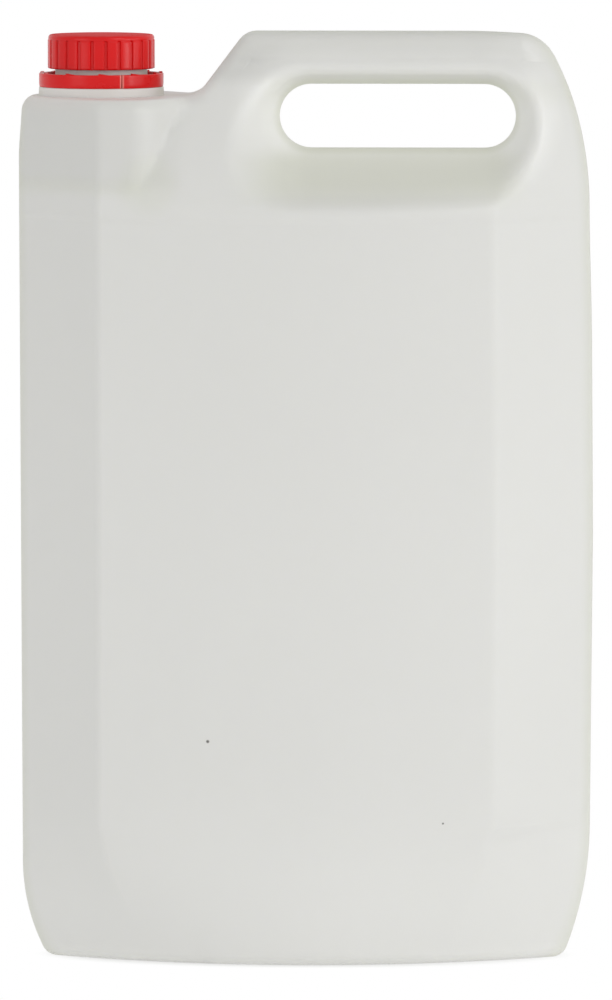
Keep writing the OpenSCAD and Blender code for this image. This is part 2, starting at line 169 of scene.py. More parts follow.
left_side = Outline([
    (-HALF_W + 30 * MM, 0, 0),
    (-HALF_W + 10 * MM, 0, EDGE),
    (-HALF_W + 1.2 * MM, 19.9 * MM, TAPER_R),
    (-HALF_W, SHOULDER_Z, EDGE),
    (-HALF_W + 30 * MM, SHOULDER_Z, 0)], -1)
right_side = Outline([
    (HALF_W - 30 * MM, 0, 0),
    (HALF_W - 10.7 * MM, 0, EDGE),
    (HALF_W - 1.2 * MM, 27.1 * MM, 134 * MM),
    (HALF_W, KINK_Z, 0),
    (HALF_W - 1 * MM, BODY_H - 35 * MM, LEG_BEND_R),
    (HALF_W - 17.7 * MM, BODY_H, 14 * MM),
    (0, BODY_H, 0)], 1)
top_side = Outline([
    (-HALF_W + EDGE, SHOULDER_Z, 0),
    (-HALF_W + 66.8 * MM, SHOULDER_Z, 10 * MM),
    (-HALF_W + 66.8 * MM + SHOULDER_DROP * 0.755, BODY_H, 7.5 * MM),
    (HALF_W - 17.7 * MM, BODY_H, 14 * MM),
    (HALF_W - 1 * MM, BODY_H - 35 * MM, 0)], -1)


def spread(knots, counts):
    """Places between the knots, each stretch cut into its count of even steps."""
    parts = [np.linspace(a, b, n + 1)[:-1] for a, b, n in zip(knots[:-1], knots[1:], counts)]
    return np.concatenate(parts + [np.array([knots[-1]])])


def soft_min(a, b, r):
    """The smaller of two depths, rounded off where they differ by less than r."""
    h = np.maximum(0, r - np.abs(a - b))
    return np.minimum(a, b) - h * h / (4 * r)


def hole_gap(x, z):
    """Distance to the stadium-shaped edge of the handle hole."""
    return np.hypot(np.maximum(np.abs(x - SLOT_X) - SLOT_ARM, 0), z - SLOT_Z) - SLOT_HALF_H


def block_line(z):
    """The slanting edge between the neck's block and the handle's leg."""
    return -HALF_W + 49 * MM + (z - STEP_Z - 14.5 * MM) * 0.484


def panel_half(x, z, guides):
    """Half the depth of the plain body.

    Flat chamfers rise from the sides to two creases, with a bulged panel between them. Near the
    base this fades into one arc, and the depth shrinks along the quarter round of the taper.
    """
    g0, g1, g2, g3 = guides
    across = (2 * x - g1 - g2) / (g2 - g1)
    panel = CREASE_HALF + PANEL_BULGE * (1 - across ** 2)
    creased = np.where(
        x < g1, mix(SIDE_HALF, CREASE_HALF, (x - g0) / (g1 - g0)),
        np.where(x > g2, mix(SIDE_HALF, CREASE_HALF, (g3 - x) / (g3 - g2)), panel))
    arc = SIDE_HALF + (HALF_D - SIDE_HALF) * (1 - ((2 * x - g0 - g3) / (g3 - g0)) ** 2)
    fade = np.clip((FOOT_Z - z) / (FOOT_Z - EDGE), 0, 1) ** 1.5
    dip = np.clip(TAPER_Z - z, 0, TAPER_R)
    taper = 1 - (TAPER_R - np.sqrt(TAPER_R ** 2 - dip ** 2)) / HALF_D
    return taper * mix(creased, arc, fade)


def leg_half(x, z):
    """Half the depth of the leg that leans in to the handle bar."""
    lean = 0.8 * np.maximum(0, BODY_H - 10 * MM - z)
    return BAR_HALF + lean + 1.6 * np.maximum(0, block_line(z) - x)


def half_depth(x, z, guides, detail=True):
    """Half the depth of the body at a place of its face.

    Above the step line the smallest of three depths counts, softly: the plain body, the leg that
    leans in to the handle bar, and the dish that falls to the hole.
    """
    body = panel_half(x, z, guides)
    dish = BAR_HALF - 3 * MM + DISH_SLOPE * (hole_gap(x, z) - 1.5 * MM)
    upper = soft_min(soft_min(body, leg_half(x, z), 14 * MM), dish, 13 * MM)
    depth = mix(body, upper, ease((z - STEP_Z) / (10 * MM)))
    if detail:
        # The panel below the step line is set back a little, and the neck's block stands proud
        depth = depth - 0.3 * MM * ease((STEP_Z - z) / (3 * MM) + 0.5) * ease(z / FOOT_Z)
        block = ease((z - 288 * MM) / (4 * MM)) * ease((block_line(z) - x) / (6 * MM))
        depth = depth + 0.6 * MM * block * ease((SHOULDER_Z - z) / (12 * MM))
    return depth


class Skin:
    """One closed skin of the moulded body, wall inside the outline.

    The front face is a grid of rows and columns inside the outline. Inside one rectangle of the
    grid, rings of points lead to the handle hole instead. The back face mirrors the front one.
    Bands carry both faces' edges round to the mould line and through the hole.
    """

    def __init__(self, wall, hole_wall, fine, steps):
        self.wall = wall
        self.hole_wall = hole_wall
        self.fine = fine
        self.steps = steps
        self.lay_out_grid()
        self.lay_out_dish()
        self.measure_depth()
        self.join()

    def counts(self, *numbers):
        return [max(1, round(n * self.fine)) for n in numbers]

    def lay_out_grid(self):
        x0, x1 = -HALF_W + EDGE, top_side.start[1][0]
        window = [0.5 + 0.5 * (NECK_X + s * WINDOW - x0) / (x1 - x0) for s in (-1, 1)]
        crease_q = 0.5 + 0.5 * (CREASE_LEFT - x0) / (x1 - x0)
        # Columns: window's edge, left crease, window's edge, slope, dish, right crease, far side
        n = self.counts(6, 8, 9, 7, 7, 6, 5, 40, 9, 5, 9)
        self.top_q = spread(
            [0.5, window[0], crease_q, window[1], 1, 1.5, 2, 2.5, 2.91, 3, 3.12, 3.25], n)
        self.window_cols = (n[0], n[0] + n[1] + n[2])
        self.crease_col = n[0] + n[1]
        self.dish_col = sum(n[:7])
        self.right_col = self.dish_col + n[7]
        self.far_col = self.right_col + n[8] + n[9]
        self.cols = self.far_col + n[10]

        # Rows: foot, step line, lower and upper edge of the dish, top
        n = [self.counts(*c) for c in [(4, 22, 8), (14, 14, 6), (12,), (22, 6), (2,)]]
        z = spread([FOOT_Z, KINK_Z, STEP_Z - 3 * MM, STEP_Z], n[1])
        dish_l = left_side.level(2, STEP_Z + DISH_LOW)
        bar_l = left_side.level(2, SHOULDER_Z - EDGE - BAR_IN)
        foot_l = left_side.level(2, z)
        foot_r = np.where(z < KINK_Z, right_side.level(2, z), right_side.level(3, z))
        left = [
            spread([1.5, 2, 2.5, foot_l[0]], n[0]), foot_l, spread([foot_l[-1], dish_l], n[2]),
            spread([dish_l, mix(dish_l, bar_l, 0.85), bar_l], n[3]), spread([bar_l, 3], n[4])]
        right = [
            spread([1.5, 2, 2.5, foot_r[0]], n[0]), foot_r, spread([foot_r[-1], 4.03], n[2]),
            spread([4.03, 4.46, 5.12], n[3]), spread([5.12, 5.25], n[4])]
        self.left_q, self.right_q = (
            np.concatenate([part[:-1] for part in side] + [side[-1][-1:]]) for side in (left, right))
        starts = np.cumsum([0] + [sum(c) for c in n])
        self.step_row, self.dish_row, self.bar_row, self.rows = starts[2:]

        i = np.arange(self.cols + 1)
        top = top_side.inset(self.top_q, EDGE)
        bar = top_side.inset(self.top_q[np.minimum(i, self.far_col)], EDGE + BAR_IN)
        past = np.clip((i - self.far_col) / (self.cols - self.far_col), 0, 1)[:, None]
        bar = mix(bar, right_side.inset(5.12, EDGE), past)
        ends = [(left_side.inset(l, EDGE), right_side.inset(r, EDGE)) for l, r in zip(left, right)]
        lines = [self.level_line(ends[0][0][0], ends[0][1][0], CREASE_RUN)]
        lines += [self.level_line(l[-1], r[-1], 0) for l, r in ends[:3]] + [bar, top]
        blocks = [self.filled(a, b, l, r) for a, b, (l, r) in zip(lines[:-1], lines[1:], ends)]
        self.grid = np.concatenate([block[:-1] for block in blocks] + [top[None]])

    def level_line(self, a, b, run):
        """Columns of a level row that runs through the two creases."""
        i = np.arange(self.cols + 1)
        marks = [0, self.crease_col, self.dish_col, self.right_col, self.cols]
        x = np.interp(i, marks, [a[0], CREASE_LEFT + run, DISH_NEAR, CREASE_RIGHT - run, b[0]])
        return np.stack([x, np.interp(i, marks, [a[1], a[1], a[1], b[1], b[1]])], 1)

    def filled(self, a, b, left, right):
        """Rows between the lines a and b whose ends follow the given side points."""
        rise = [(side[:, 1] - side[0, 1]) / (side[-1, 1] - side[0, 1]) for side in (left, right)]
        t = ((rise[0] + rise[1]) / 2)[:, None, None]
        s = ((a[:, 0] - a[0, 0]) / (a[-1, 0] - a[0, 0]))[None, :, None]
        rows = mix(a[None], b[None], t)
        rows = rows + (left[:, None] - mix(a[0], b[0], t)) * (1 - s)
        return rows + (right[:, None] - mix(a[-1], b[-1], t)) * s

    def hole_rim(self, grow):
        """Points of the hole's edge, grown outwards, for the ring's sides and shares of them.

        Sides 0 to 3 are bottom, right, top and left. The long sides start and end with an eighth
        of a circle, and the short ones are quarter circles.
        """
        side, share = self.ring_side, self.ring_share
        short, part = side % 2 == 1, 1 / 6
        turn = 45 * (np.clip(share / part, 0, 1) + np.clip((share - 1) / part + 1, 0, 1))
        angle = np.radians(side * 90 - 135 + np.where(short, 90 * share, turn))
        slide = np.where(short, 1, 2 * np.clip((share - part) / (1 - 2 * part), 0, 1) - 1)
        x = SLOT_X + np.where(side < 2, 1, -1) * slide * SLOT_ARM
        r = SLOT_HALF_H + grow
        return np.stack([x + r * np.cos(angle), SLOT_Z + r * np.sin(angle)], 1)

    def lay_out_dish(self):
        """Rings from the dish's rectangle to the hole, counter-clockwise from the lower left."""
        wide, tall = self.far_col - self.dish_col, self.bar_row - self.dish_row
        w, t = np.arange(wide), np.arange(tall)
        row = np.concatenate([self.dish_row + 0 * w, self.dish_row + t,
                              self.bar_row + 0 * w, self.bar_row - t])
        col = np.concatenate([self.dish_col + w, self.far_col + 0 * t,
                              self.far_col - w, self.dish_col + 0 * t])
        self.ring_side = np.repeat([0, 1, 2, 3], [wide, tall, wide, tall])
        self.ring_share = np.concatenate([w / wide, t / tall, w / wide, t / tall])
        p, q = self.grid[row, col], self.hole_rim(HOLE_EDGE)

        # Share of the way at which the dish starts, found in a few steps
        share = np.full(len(p), 0.3)
        reach = hole_gap(p[:, 0], p[:, 1])
        for _ in range(4):
            x, z = mix(p, q, share[:, None]).T
            around = np.minimum(panel_half(x, z, self.upper_guides(z)), leg_half(x, z))
            gap = (around - BAR_HALF + 3 * MM) / DISH_SLOPE + 1.5 * MM
            share = np.clip((reach - gap) / (reach - HOLE_EDGE), 0.12, 0.75)
        n = self.counts(8, 17)
        shares = np.concatenate([
            np.outer(np.linspace(0, 1, n[0] + 1)[1:-1], share),
            mix(share, 1, np.linspace(0, 1, n[1] + 1)[:, None])])
        rings = mix(p[None], q[None], shares[..., None])

        size = (self.rows + 1) * (self.cols + 1)
        ids = size + np.arange(rings.shape[0] * len(p)).reshape(rings.shape[:2])
        self.ring_ids = np.concatenate([[self.place(row, col)], ids])
        self.spots = np.concatenate([self.grid.reshape(-1, 2), rings.reshape(-1, 2)])
        self.spot_rows = np.concatenate([
            np.repeat(np.arange(self.rows + 1), self.cols + 1), np.full(ids.size, self.rows)])

    def place(self, r, i):
        """Number of a grid point."""
        return r * (self.cols + 1) + i

    def upper_guides(self, z):
        """Side, creases and side at a height over the step line."""
        x, start = right_side.start[4]
        rise = np.maximum(0, z - start)
        side = x - LEG_BEND_R + np.sqrt(LEG_BEND_R ** 2 - rise ** 2)
        return np.stack([-HALF_W + 0 * z, CREASE_LEFT + 0 * z, CREASE_RIGHT + 0 * z, side])

    def guides(self, row, z):
        """Side, creases and side that the depth is measured between."""
        line = self.grid[:, [0, self.crease_col, self.right_col, self.cols], 0]
        line = line + np.array([-EDGE, 0, 0, EDGE])
        return np.where(row < self.step_row, line[row].T, self.upper_guides(z))

    def measure_depth(self):
        x, z = self.spots.T
        g = self.guides(self.spot_rows, z)
        self.outer_depth = half_depth(x, z, g)
        self.depth = self.outer_depth
        if self.wall > 0:
            h = 0.5 * MM
            along = (half_depth(x + h, z, g) - half_depth(x - h, z, g)) / (2 * h)
            up = (half_depth(x, z + h, g) - half_depth(x, z - h, g)) / (2 * h)
            self.depth = self.depth - self.wall * np.sqrt(1 + along ** 2 + up ** 2)

    def rim_loop(self):
        """Places and outline points of the face's edge, counter-clockwise from the front."""
        i, r = np.arange(self.cols + 1), np.arange(self.rows + 1)
        fan = self.counts(6)[0]

        def arc(start, end):
            return np.linspace(start, end, fan + 1)[1:-1]

        base = np.stack([self.grid[0, :, 0], 0 * self.grid[0, :, 0]], 1)
        runs = [
            (0, i, base),
            (0, self.cols, right_side.at(arc(1, 1.5))[0]),
            (r[:-1], self.cols, right_side.at(self.right_q[:-1])[0]),
            (self.rows, i[::-1], top_side.at(self.top_q[::-1])[0]),
            (self.rows, 0, left_side.at(arc(3.5, 3))[0]),
            (r[::-1], 0, left_side.at(self.left_q[::-1])[0]),
            (0, 0, left_side.at(arc(1.5, 1))[0])]
        spots = [np.broadcast_to(self.place(row, col), len(line)) for row, col, line in runs]
        return np.concatenate(spots), np.concatenate([line for _, _, line in runs])

    def band(self, loop, edge, wall, low, flats):
        """Layers of points from the face's edge to the mould line, front half.

        Each layer is a quadratic curve's point between the face, the outline's plane and the flat
        rim; the flats after it are shares of the rim's half width.
        """
        spots, outer = loop
        p, d = self.spots[spots], self.depth[spots]
        g = self.guides(self.spot_rows[spots], outer[:, 1])
        tip = np.maximum(half_depth(outer[:, 0], outer[:, 1], g, detail=False), MM)
        inner_tip = d - (self.outer_depth[spots] - tip) / edge * (edge - wall)
        rim = np.maximum(low, tip - edge) * inner_tip / tip
        layers = []
        for t in np.linspace(0, 1, self.steps + 1)[1:]:
            y = (1 - t) ** 2 * d + 2 * t * (1 - t) * inner_tip + t * t * rim
            q = mix(outer, p, (wall + (edge - wall) * (1 - t) ** 2) / edge)
            layers.append(np.stack([q[:, 0], y, q[:, 1]], 1))
        outward = (outer - p) / np.linalg.norm(outer - p, axis=1)[:, None]
        window = np.where(rim > 1.1 * WINDOW, WINDOW, 0.5 * rim)
        on_base = outer[:, 1] < 1e-6
        for share in flats:
            layer = layers[self.steps - 1].copy()
            y = mix(window, rim, share - 1) if share > 1 else window * share
            inside = rim - y
            lift = ease((inside - 4 * MM) / (9 * MM)) * ease((rim - 12 * MM) / (9 * MM))
            layer[:, 1] = y
            layer[:, 2] += np.where(on_base, BASE_RECESS * lift, 0)
            if share == 0 and wall == 0:
                ridge = np.where(on_base, 0, SEAM_RIDGE * ease(outer[:, 1] / (8 * MM)))
                layer[:, 0] += outward[:, 0] * ridge
                layer[:, 2] += outward[:, 1] * ridge
            layers.append(layer)
        return layers

    def join(self):
        """Gathers the points and quads of both faces and of the bands round and through them."""
        total = len(self.spots)
        front = np.stack([self.spots[:, 0], -self.depth, self.spots[:, 1]], 1)
        points = [front, front * [1, -1, 1]]
        r, i = (v.ravel() for v in np.meshgrid(
            np.arange(self.rows), np.arange(self.cols), indexing="ij"))
        keep = ((r < self.dish_row) | (r >= self.bar_row)
                | (i < self.dish_col) | (i >= self.far_col))
        r, i = r[keep], i[keep]
        face = np.stack([self.place(r, i), self.place(r, i + 1),
                         self.place(r + 1, i + 1), self.place(r + 1, i)], 1)
        a, b = self.ring_ids[:-1], self.ring_ids[1:]
        rings = np.stack([a, np.roll(a, -1, 1), np.roll(b, -1, 1), b], 2).reshape(-1, 4)
        face = np.concatenate([face, rings])
        quads = [face, face[:, ::-1] + total]
        hole_loop = (self.ring_ids[-1, ::-1], self.hole_rim(0)[::-1])
        bands = [(self.rim_loop(), EDGE, self.wall, RIM_HALF, RIM_FLATS, True),
                 (hole_loop, HOLE_EDGE, self.hole_wall, PINCH_HALF, [0.8, 0], False)]
        count = 2 * total
        for loop, edge, wall, low, flats, with_window in bands:
            layers = self.band(loop, edge, wall, low, flats)
            layers = [layer * [1, -1, 1] for layer in layers] + layers[-2::-1]
            size = len(loop[0])
            ids = count + np.arange(len(layers) * size).reshape(-1, size)
            ids = np.concatenate([[loop[0]], ids, [loop[0] + total]])
            count += len(layers) * size
            points += layers
            a, b = ids[:-1], ids[1:]
            quad = np.stack([a, b, np.roll(b, -1, 1), np.roll(a, -1, 1)], 2)
            if with_window:
                quad = self.cut_window(quad, ids)
            quads.append(quad.reshape(-1, 4))
        self.points = np.concatenate(points)
        self.quads = np.concatenate(quads)

    def cut_window(self, quad, ids):
        """Leaves out the shoulder's quads inside the window and keeps the border's numbers."""
        first = self.steps + 1 + RIM_FLATS.index(1)
        last = len(ids) - 1 - first
        right, left = (int(np.flatnonzero(ids[0] == self.place(self.rows, col))[0])
                       for col in self.window_cols[::-1])
        inside = np.zeros(quad.shape[:2], bool)
        inside[first:last, right:left] = True
        self.window_loop = np.concatenate([
            ids[first, right:left + 1], ids[first + 1:last + 1, left],
            ids[last, right:left][::-1], ids[first + 1:last, right][::-1]])
        return quad[~inside]


def new_piece(name, points, faces, material, body):
    """A smooth mesh object from arrays of points and quads; repeated corners become triangles."""
    mesh = bpy.data.meshes.new(name)
    faces = np.asarray(faces)
    same = faces == np.roll(faces, -1, 1)
    count = (~same).sum(1)
    keep = count >= 3
    faces, same, count = faces[keep], same[keep], count[keep]
    corners = faces[~same]
    mesh.vertices.add(len(points))
    mesh.vertices.foreach_set("co", np.asarray(points, np.float32).reshape(-1))
    mesh.loops.add(len(corners))
    mesh.loops.foreach_set("vertex_index", corners.astype(np.int32))
    mesh.polygons.add(len(faces))
    starts = np.concatenate([[0], np.cumsum(count)[:-1]])
    mesh.polygons.foreach_set("loop_start", starts.astype(np.int32))
    mesh.update(calc_edges=True)
    mesh.polygons.foreach_set("use_smooth", np.full(len(faces), True))
    mesh.validate()
    piece = bpy.data.objects.new(name, mesh)
    bpy.context.scene.collection.objects.link(piece)
    piece.data.materials.append(material)
    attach(piece, body)
    return piece


def lean_corners(points):
    """Moves the points of the two upper corners in place.

    The corner beside the neck leans in by up to 1.2 mm. The handle's outer corner leans in by
    up to 0.7 mm and drops by up to 1.5 mm.
    """
    near = ease((points[:, 2] - SHOULDER_Z + 24 * MM) / (22 * MM))
    points[:, 0] += 1.2 * MM * near * ease((-HALF_W + 12 * MM - points[:, 0]) / (12 * MM))
    far = ease((points[:, 0] - 60 * MM) / (40 * MM))
    points[:, 0] -= 0.7 * MM * far * ease((points[:, 2] - 230 * MM) / (50 * MM))
    points[:, 2] -= 1.5 * MM * far * ease((points[:, 2] - BODY_H + 30 * MM) / (30 * MM))


def shell_piece(material):
    """The moulded wall: the outer skin, the inner skin turned round, and the window's edge."""
    outer, inner = Skin(0, 0, 0.8, 8), Skin(WALL, PINCH_W, 0.8, 3)
    shift = len(outer.points)
    a, b = outer.window_loop, inner.window_loop + shift
    edge = np.stack([a, np.roll(a, -1), np.roll(b, -1), b], 1)
    faces = np.concatenate([outer.quads, inner.quads[:, ::-1] + shift, edge[:, ::-1]])
    points = np.concatenate([outer.points, inner.points])
    lean_corners(points)
    return new_piece("moulded_wall", points, faces, material, "canister")


def turned_grid(profile_r, profile_z, angles, from_pole_to_pole):
    """Points and quads of a surface turned about the neck's axis.

    profile_r and profile_z are arrays of profile places by angles. The profile is a closed loop,
    or runs from pole to pole.
    """
    m, n = profile_r.shape
    x = NECK_X + profile_r * np.cos(angles)
    y = profile_r * np.sin(angles)
    points = np.stack([x, y, profile_z], 2).reshape(-1, 3)
    ids = np.arange(m * n).reshape(m, n)
    if from_pole_to_pole:
        ids[0] = ids[0, 0]
        ids[-1] = ids[-1, 0]
        a, b = ids[:-1], ids[1:]
    else:
        a, b = ids, np.roll(ids, -1, 0)
    quads = np.stack([a, b, np.roll(b, -1, 1), np.roll(a, -1, 1)], 2)
    return points, quads.reshape(-1, 4)


def rounded_profile(corners, longest, arc_steps=4):
    """Points of a profile of (r, z, rounding) corners, in stretches of a greatest length."""
    line = Outline(corners, 1)
    places = [[0.5]]
    for k in range(1, len(corners) - 1):
        places.append(np.linspace(k, k + 0.5, arc_steps + 1))
    places.append([len(corners) - 1.0])
    points = line.at(np.concatenate(places))[0]
    parts = []
    for a, b in zip(points[:-1], points[1:]):
        n = max(1, int(np.ceil(np.linalg.norm(b - a) / longest)))
        parts.append(mix(a, b, np.linspace(0, 1, n + 1)[:-1, None]))
    return np.concatenate(parts + [points[-1:]])


PITCH = 4.23 * MM
THREAD_H = 1.2 * MM
NECK_R = 16.3 * MM
NECK_TOP = SHOULDER_Z + 20 * MM
CAP_Z = cap_low[2]
CAP_H = cap_high[2] - cap_low[2]
THREAD_Z = CAP_Z + 2.5 * MM
THREAD_ANGLE = np.radians(40)
COLLAR_R = 23.25 * MM
MOUTH_R = 14 * MM
CAP_RIBS = 24
RING_H = 5.05 * MM
RING_TEETH = 11
TOOTH_H = 0.55 * MM
TEAR_ANGLE = np.radians(-68)
TEAR_W = 0.5 * MM


def thread_height(angle, z, start_z, turns):
    """Height of a helical thread of trapezoid section, with faded ends."""
    height = np.zeros(np.broadcast(angle, z).shape)
    around = np.mod(angle - THREAD_ANGLE, TAU) / TAU
    for lap in range(int(np.ceil(turns)) + 1):
        along = around + lap
        off = np.abs(z - start_z - PITCH * along)
        bump = ease((1.15 * MM - off) / (0.75 * MM))
        ends = ease(along / 0.12) * ease((turns - along) / 0.12)
        height = np.maximum(height, THREAD_H * bump * ends)
    return height


def neck_piece(material):
    """The collar, the threaded neck and the mouth, turned as one closed ring."""
    z = SHOULDER_Z
    corners = [
        (MOUTH_R, z - 1.5 * MM, 0), (COLLAR_R + 0.5 * MM, z - 0.4 * MM, 0),
        (COLLAR_R + 0.1 * MM, z + 0.5 * MM, 0.5 * MM),
        (COLLAR_R, RING_Z, 0.5 * MM), (18 * MM, RING_Z, 0.4 * MM),
        (18 * MM, RING_Z + 1.5 * MM, 0.2 * MM), (20.4 * MM, RING_Z + 1.6 * MM, 0.3 * MM),
        (20.4 * MM, RING_Z + 2.4 * MM, 0.4 * MM), (17.2 * MM, RING_Z + 4.4 * MM, 0.6 * MM),
        (17.2 * MM, z + 10.7 * MM, 0.5 * MM), (NECK_R, z + 11.3 * MM, 0.4 * MM),
        (NECK_R, NECK_TOP, 0.6 * MM), (MOUTH_R, NECK_TOP, 0.5 * MM), (MOUTH_R, z - 1.5 * MM, 0)]
    profile = rounded_profile(corners, 0.45 * MM)[:-1]
    angles = np.linspace(0, TAU, 193)[:-1][None, :]
    r, h = profile[:, :1], profile[:, 1:]
    outside = (r > NECK_R - 0.01 * MM) & (h > z + 11 * MM)
    r = r + np.where(outside, thread_height(angles, h, THREAD_Z, 1.5), 0)
    points, quads = turned_grid(r, h + 0 * angles, angles, False)
    return new_piece("neck", points, quads[:, ::-1], material, "canister")


def cap_piece(material):
    """The screw cap from the middle of its top, round its skirt, to the middle of its ceiling.

    The skirt carries wide flat-topped ribs with narrow grooves between them, and its inside a
    thread whose sections stand inwards from the bore.
    """
    rim, skirt, bore = 19.8 * MM, 19.2 * MM, NECK_R + THREAD_H + 0.4 * MM
    rib_h, ceiling = 0.75 * MM, CAP_H - 1.6 * MM
    corners = [
        (0, CAP_H, 0), (15.5 * MM, CAP_H, 0), (rim, CAP_H - 0.2 * MM, 1.2 * MM),
        (rim, CAP_H - 1.9 * MM, 0.3 * MM), (skirt, CAP_H - 2.3 * MM, 0.2 * MM),
        (skirt, 0, 0.3 * MM),
        (bore, 0, 0.3 * MM), (bore, ceiling, 0.6 * MM), (0, ceiling, 0)]
    profile = rounded_profile(corners, 0.5 * MM)
    r, h = profile[:, :1], profile[:, 1:]
    phases = spread([-0.5, -0.43, -0.34, 0, 0.34, 0.43, 0.5], [2, 4, 3, 3, 4, 2])[:-1]
    angles = ((np.arange(CAP_RIBS)[:, None] + phases[None]) * TAU / CAP_RIBS).reshape(1, -1)
    phase = np.tile(phases, CAP_RIBS)[None, :]
    outside = (r > bore + 0.5 * MM) & (h < CAP_H - 1.7 * MM)
    rib = ease((0.42 - np.abs(phase)) / 0.07) * ease((CAP_H - 1.9 * MM - h) / (0.4 * MM))
    rib = rib * ease(h / (0.5 * MM) + 0.3)
    r_all = np.where(outside, np.minimum(r + rib_h * rib, 19.96 * MM), r + 0 * angles)
    inside = (np.abs(r - bore) < 0.01 * MM) & (h > 0.5 * MM)
    start = THREAD_Z - CAP_Z + PITCH / 2
    r_all = np.where(inside, r - thread_height(angles, h, start, 1.2), r_all)
    points, quads = turned_grid(r_all, CAP_Z + h + 0 * angles, angles, True)
    return new_piece("cap", points, quads, material, "cap")


def ring_piece(material):
    """The loose tamper ring, swept from one edge of its tear to the other, with both ends closed.

    Ramped teeth stand on its upper edge, each steep at its left end as seen from outside.
    """
    r, wall, lip = COLLAR_R - 0.01 * MM, 1.6 * MM, 18.6 * MM
    corners = [
        (lip, 0, 0), (r - 0.15 * MM, 0, 0.4 * MM), (r, 1.2 * MM, 0.6 * MM),
        (r, RING_H, 0.35 * MM), (r - 0.3 * MM, RING_H, 0), (r - 0.32 * MM, RING_H + 0.01 * MM, 0),
        (r - wall + 0.12 * MM, RING_H + 0.01 * MM, 0), (r - wall + 0.1 * MM, RING_H, 0),
        (r - wall, RING_H, 0), (r - wall, 1 * MM, 0.3 * MM), (lip, 1 * MM, 0.3 * MM), (lip, 0, 0)]
    profile = rounded_profile(corners, 0.8 * MM)[:-1]
    half_tear = TEAR_W / 2 / COLLAR_R
    first, last = TEAR_ANGLE + half_tear, TEAR_ANGLE + TAU - half_tear
    pitch = TAU / RING_TEETH
    middles = 0.4 * pitch + pitch * np.arange(-RING_TEETH, 2 * RING_TEETH)
    half_tooth = 2 * MM / COLLAR_R
    edges = np.concatenate([
        middles - half_tooth - 0.002, middles - half_tooth, middles + half_tooth])
    angles = np.concatenate([np.linspace(first, last, 260),
                             edges[(edges > first + 0.001) & (edges < last - 0.001)]])
    angles = np.sort(angles)[None, :]
    phase = np.mod(angles - middles[0] + pitch / 2, pitch) - pitch / 2
    ramp = np.where(phase > -half_tooth - 1e-6, (half_tooth - phase) / (2 * half_tooth), 0)
    tooth = (TOOTH_H - 0.05 * MM) * np.clip(ramp, 0, 1)
    h = profile[:, 1:] + np.where(profile[:, 1:] > RING_H + 0.005 * MM, tooth, 0)
    m, n = h.shape
    x = NECK_X + profile[:, :1] * np.cos(angles)
    y = profile[:, :1] * np.sin(angles)
    points = np.stack([x, y, RING_Z + h], 2).reshape(-1, 3)
    ids = np.arange(m * n).reshape(m, n)
    a, b = ids, np.roll(ids, -1, 0)
    quads = np.stack([a[:, :-1], a[:, 1:], b[:, 1:], b[:, :-1]], 2).reshape(-1, 4)
    ends = []
    for column, order in ((0, 1), (n - 1, -1)):
        middle = len(points)
        points = np.vstack([points, points[ids[:, column]].mean(0)])
        a, b = ids[:, column], np.roll(ids[:, column], -1)
        ends.append(np.stack([a, b, middle + 0 * a, middle + 0 * a], 1)[:, ::order])
    quads = np.concatenate([quads] + ends)
    return new_piece("loose_ring", points, quads, material, "canister")


class Value:
    """A number or colour inside a material. Arithmetic on it adds the Math nodes."""

    def __init__(self, shader, socket):
        self.shader = shader
        self.socket = socket

    def maths(self, operation, a, b):
        return self.shader.node("Math", {0: a, 1: b}, operation=operation)

    def __add__(self, other):
        return self.maths("ADD", self, other)

    def __sub__(self, other):
        return self.maths("SUBTRACT", self, other)

    def __mul__(self, other):
        return self.maths("MULTIPLY", self, other)

    __radd__ = __add__
    __rmul__ = __mul__

    def step(self, start, end):
        """Smooth step of this value: 0 at start, 1 at end, which may lie below start."""
        return self.shader.node(
            "MapRange", {"Value": self, "From Min": start, "From Max": end},
            interpolation_type="SMOOTHSTEP")


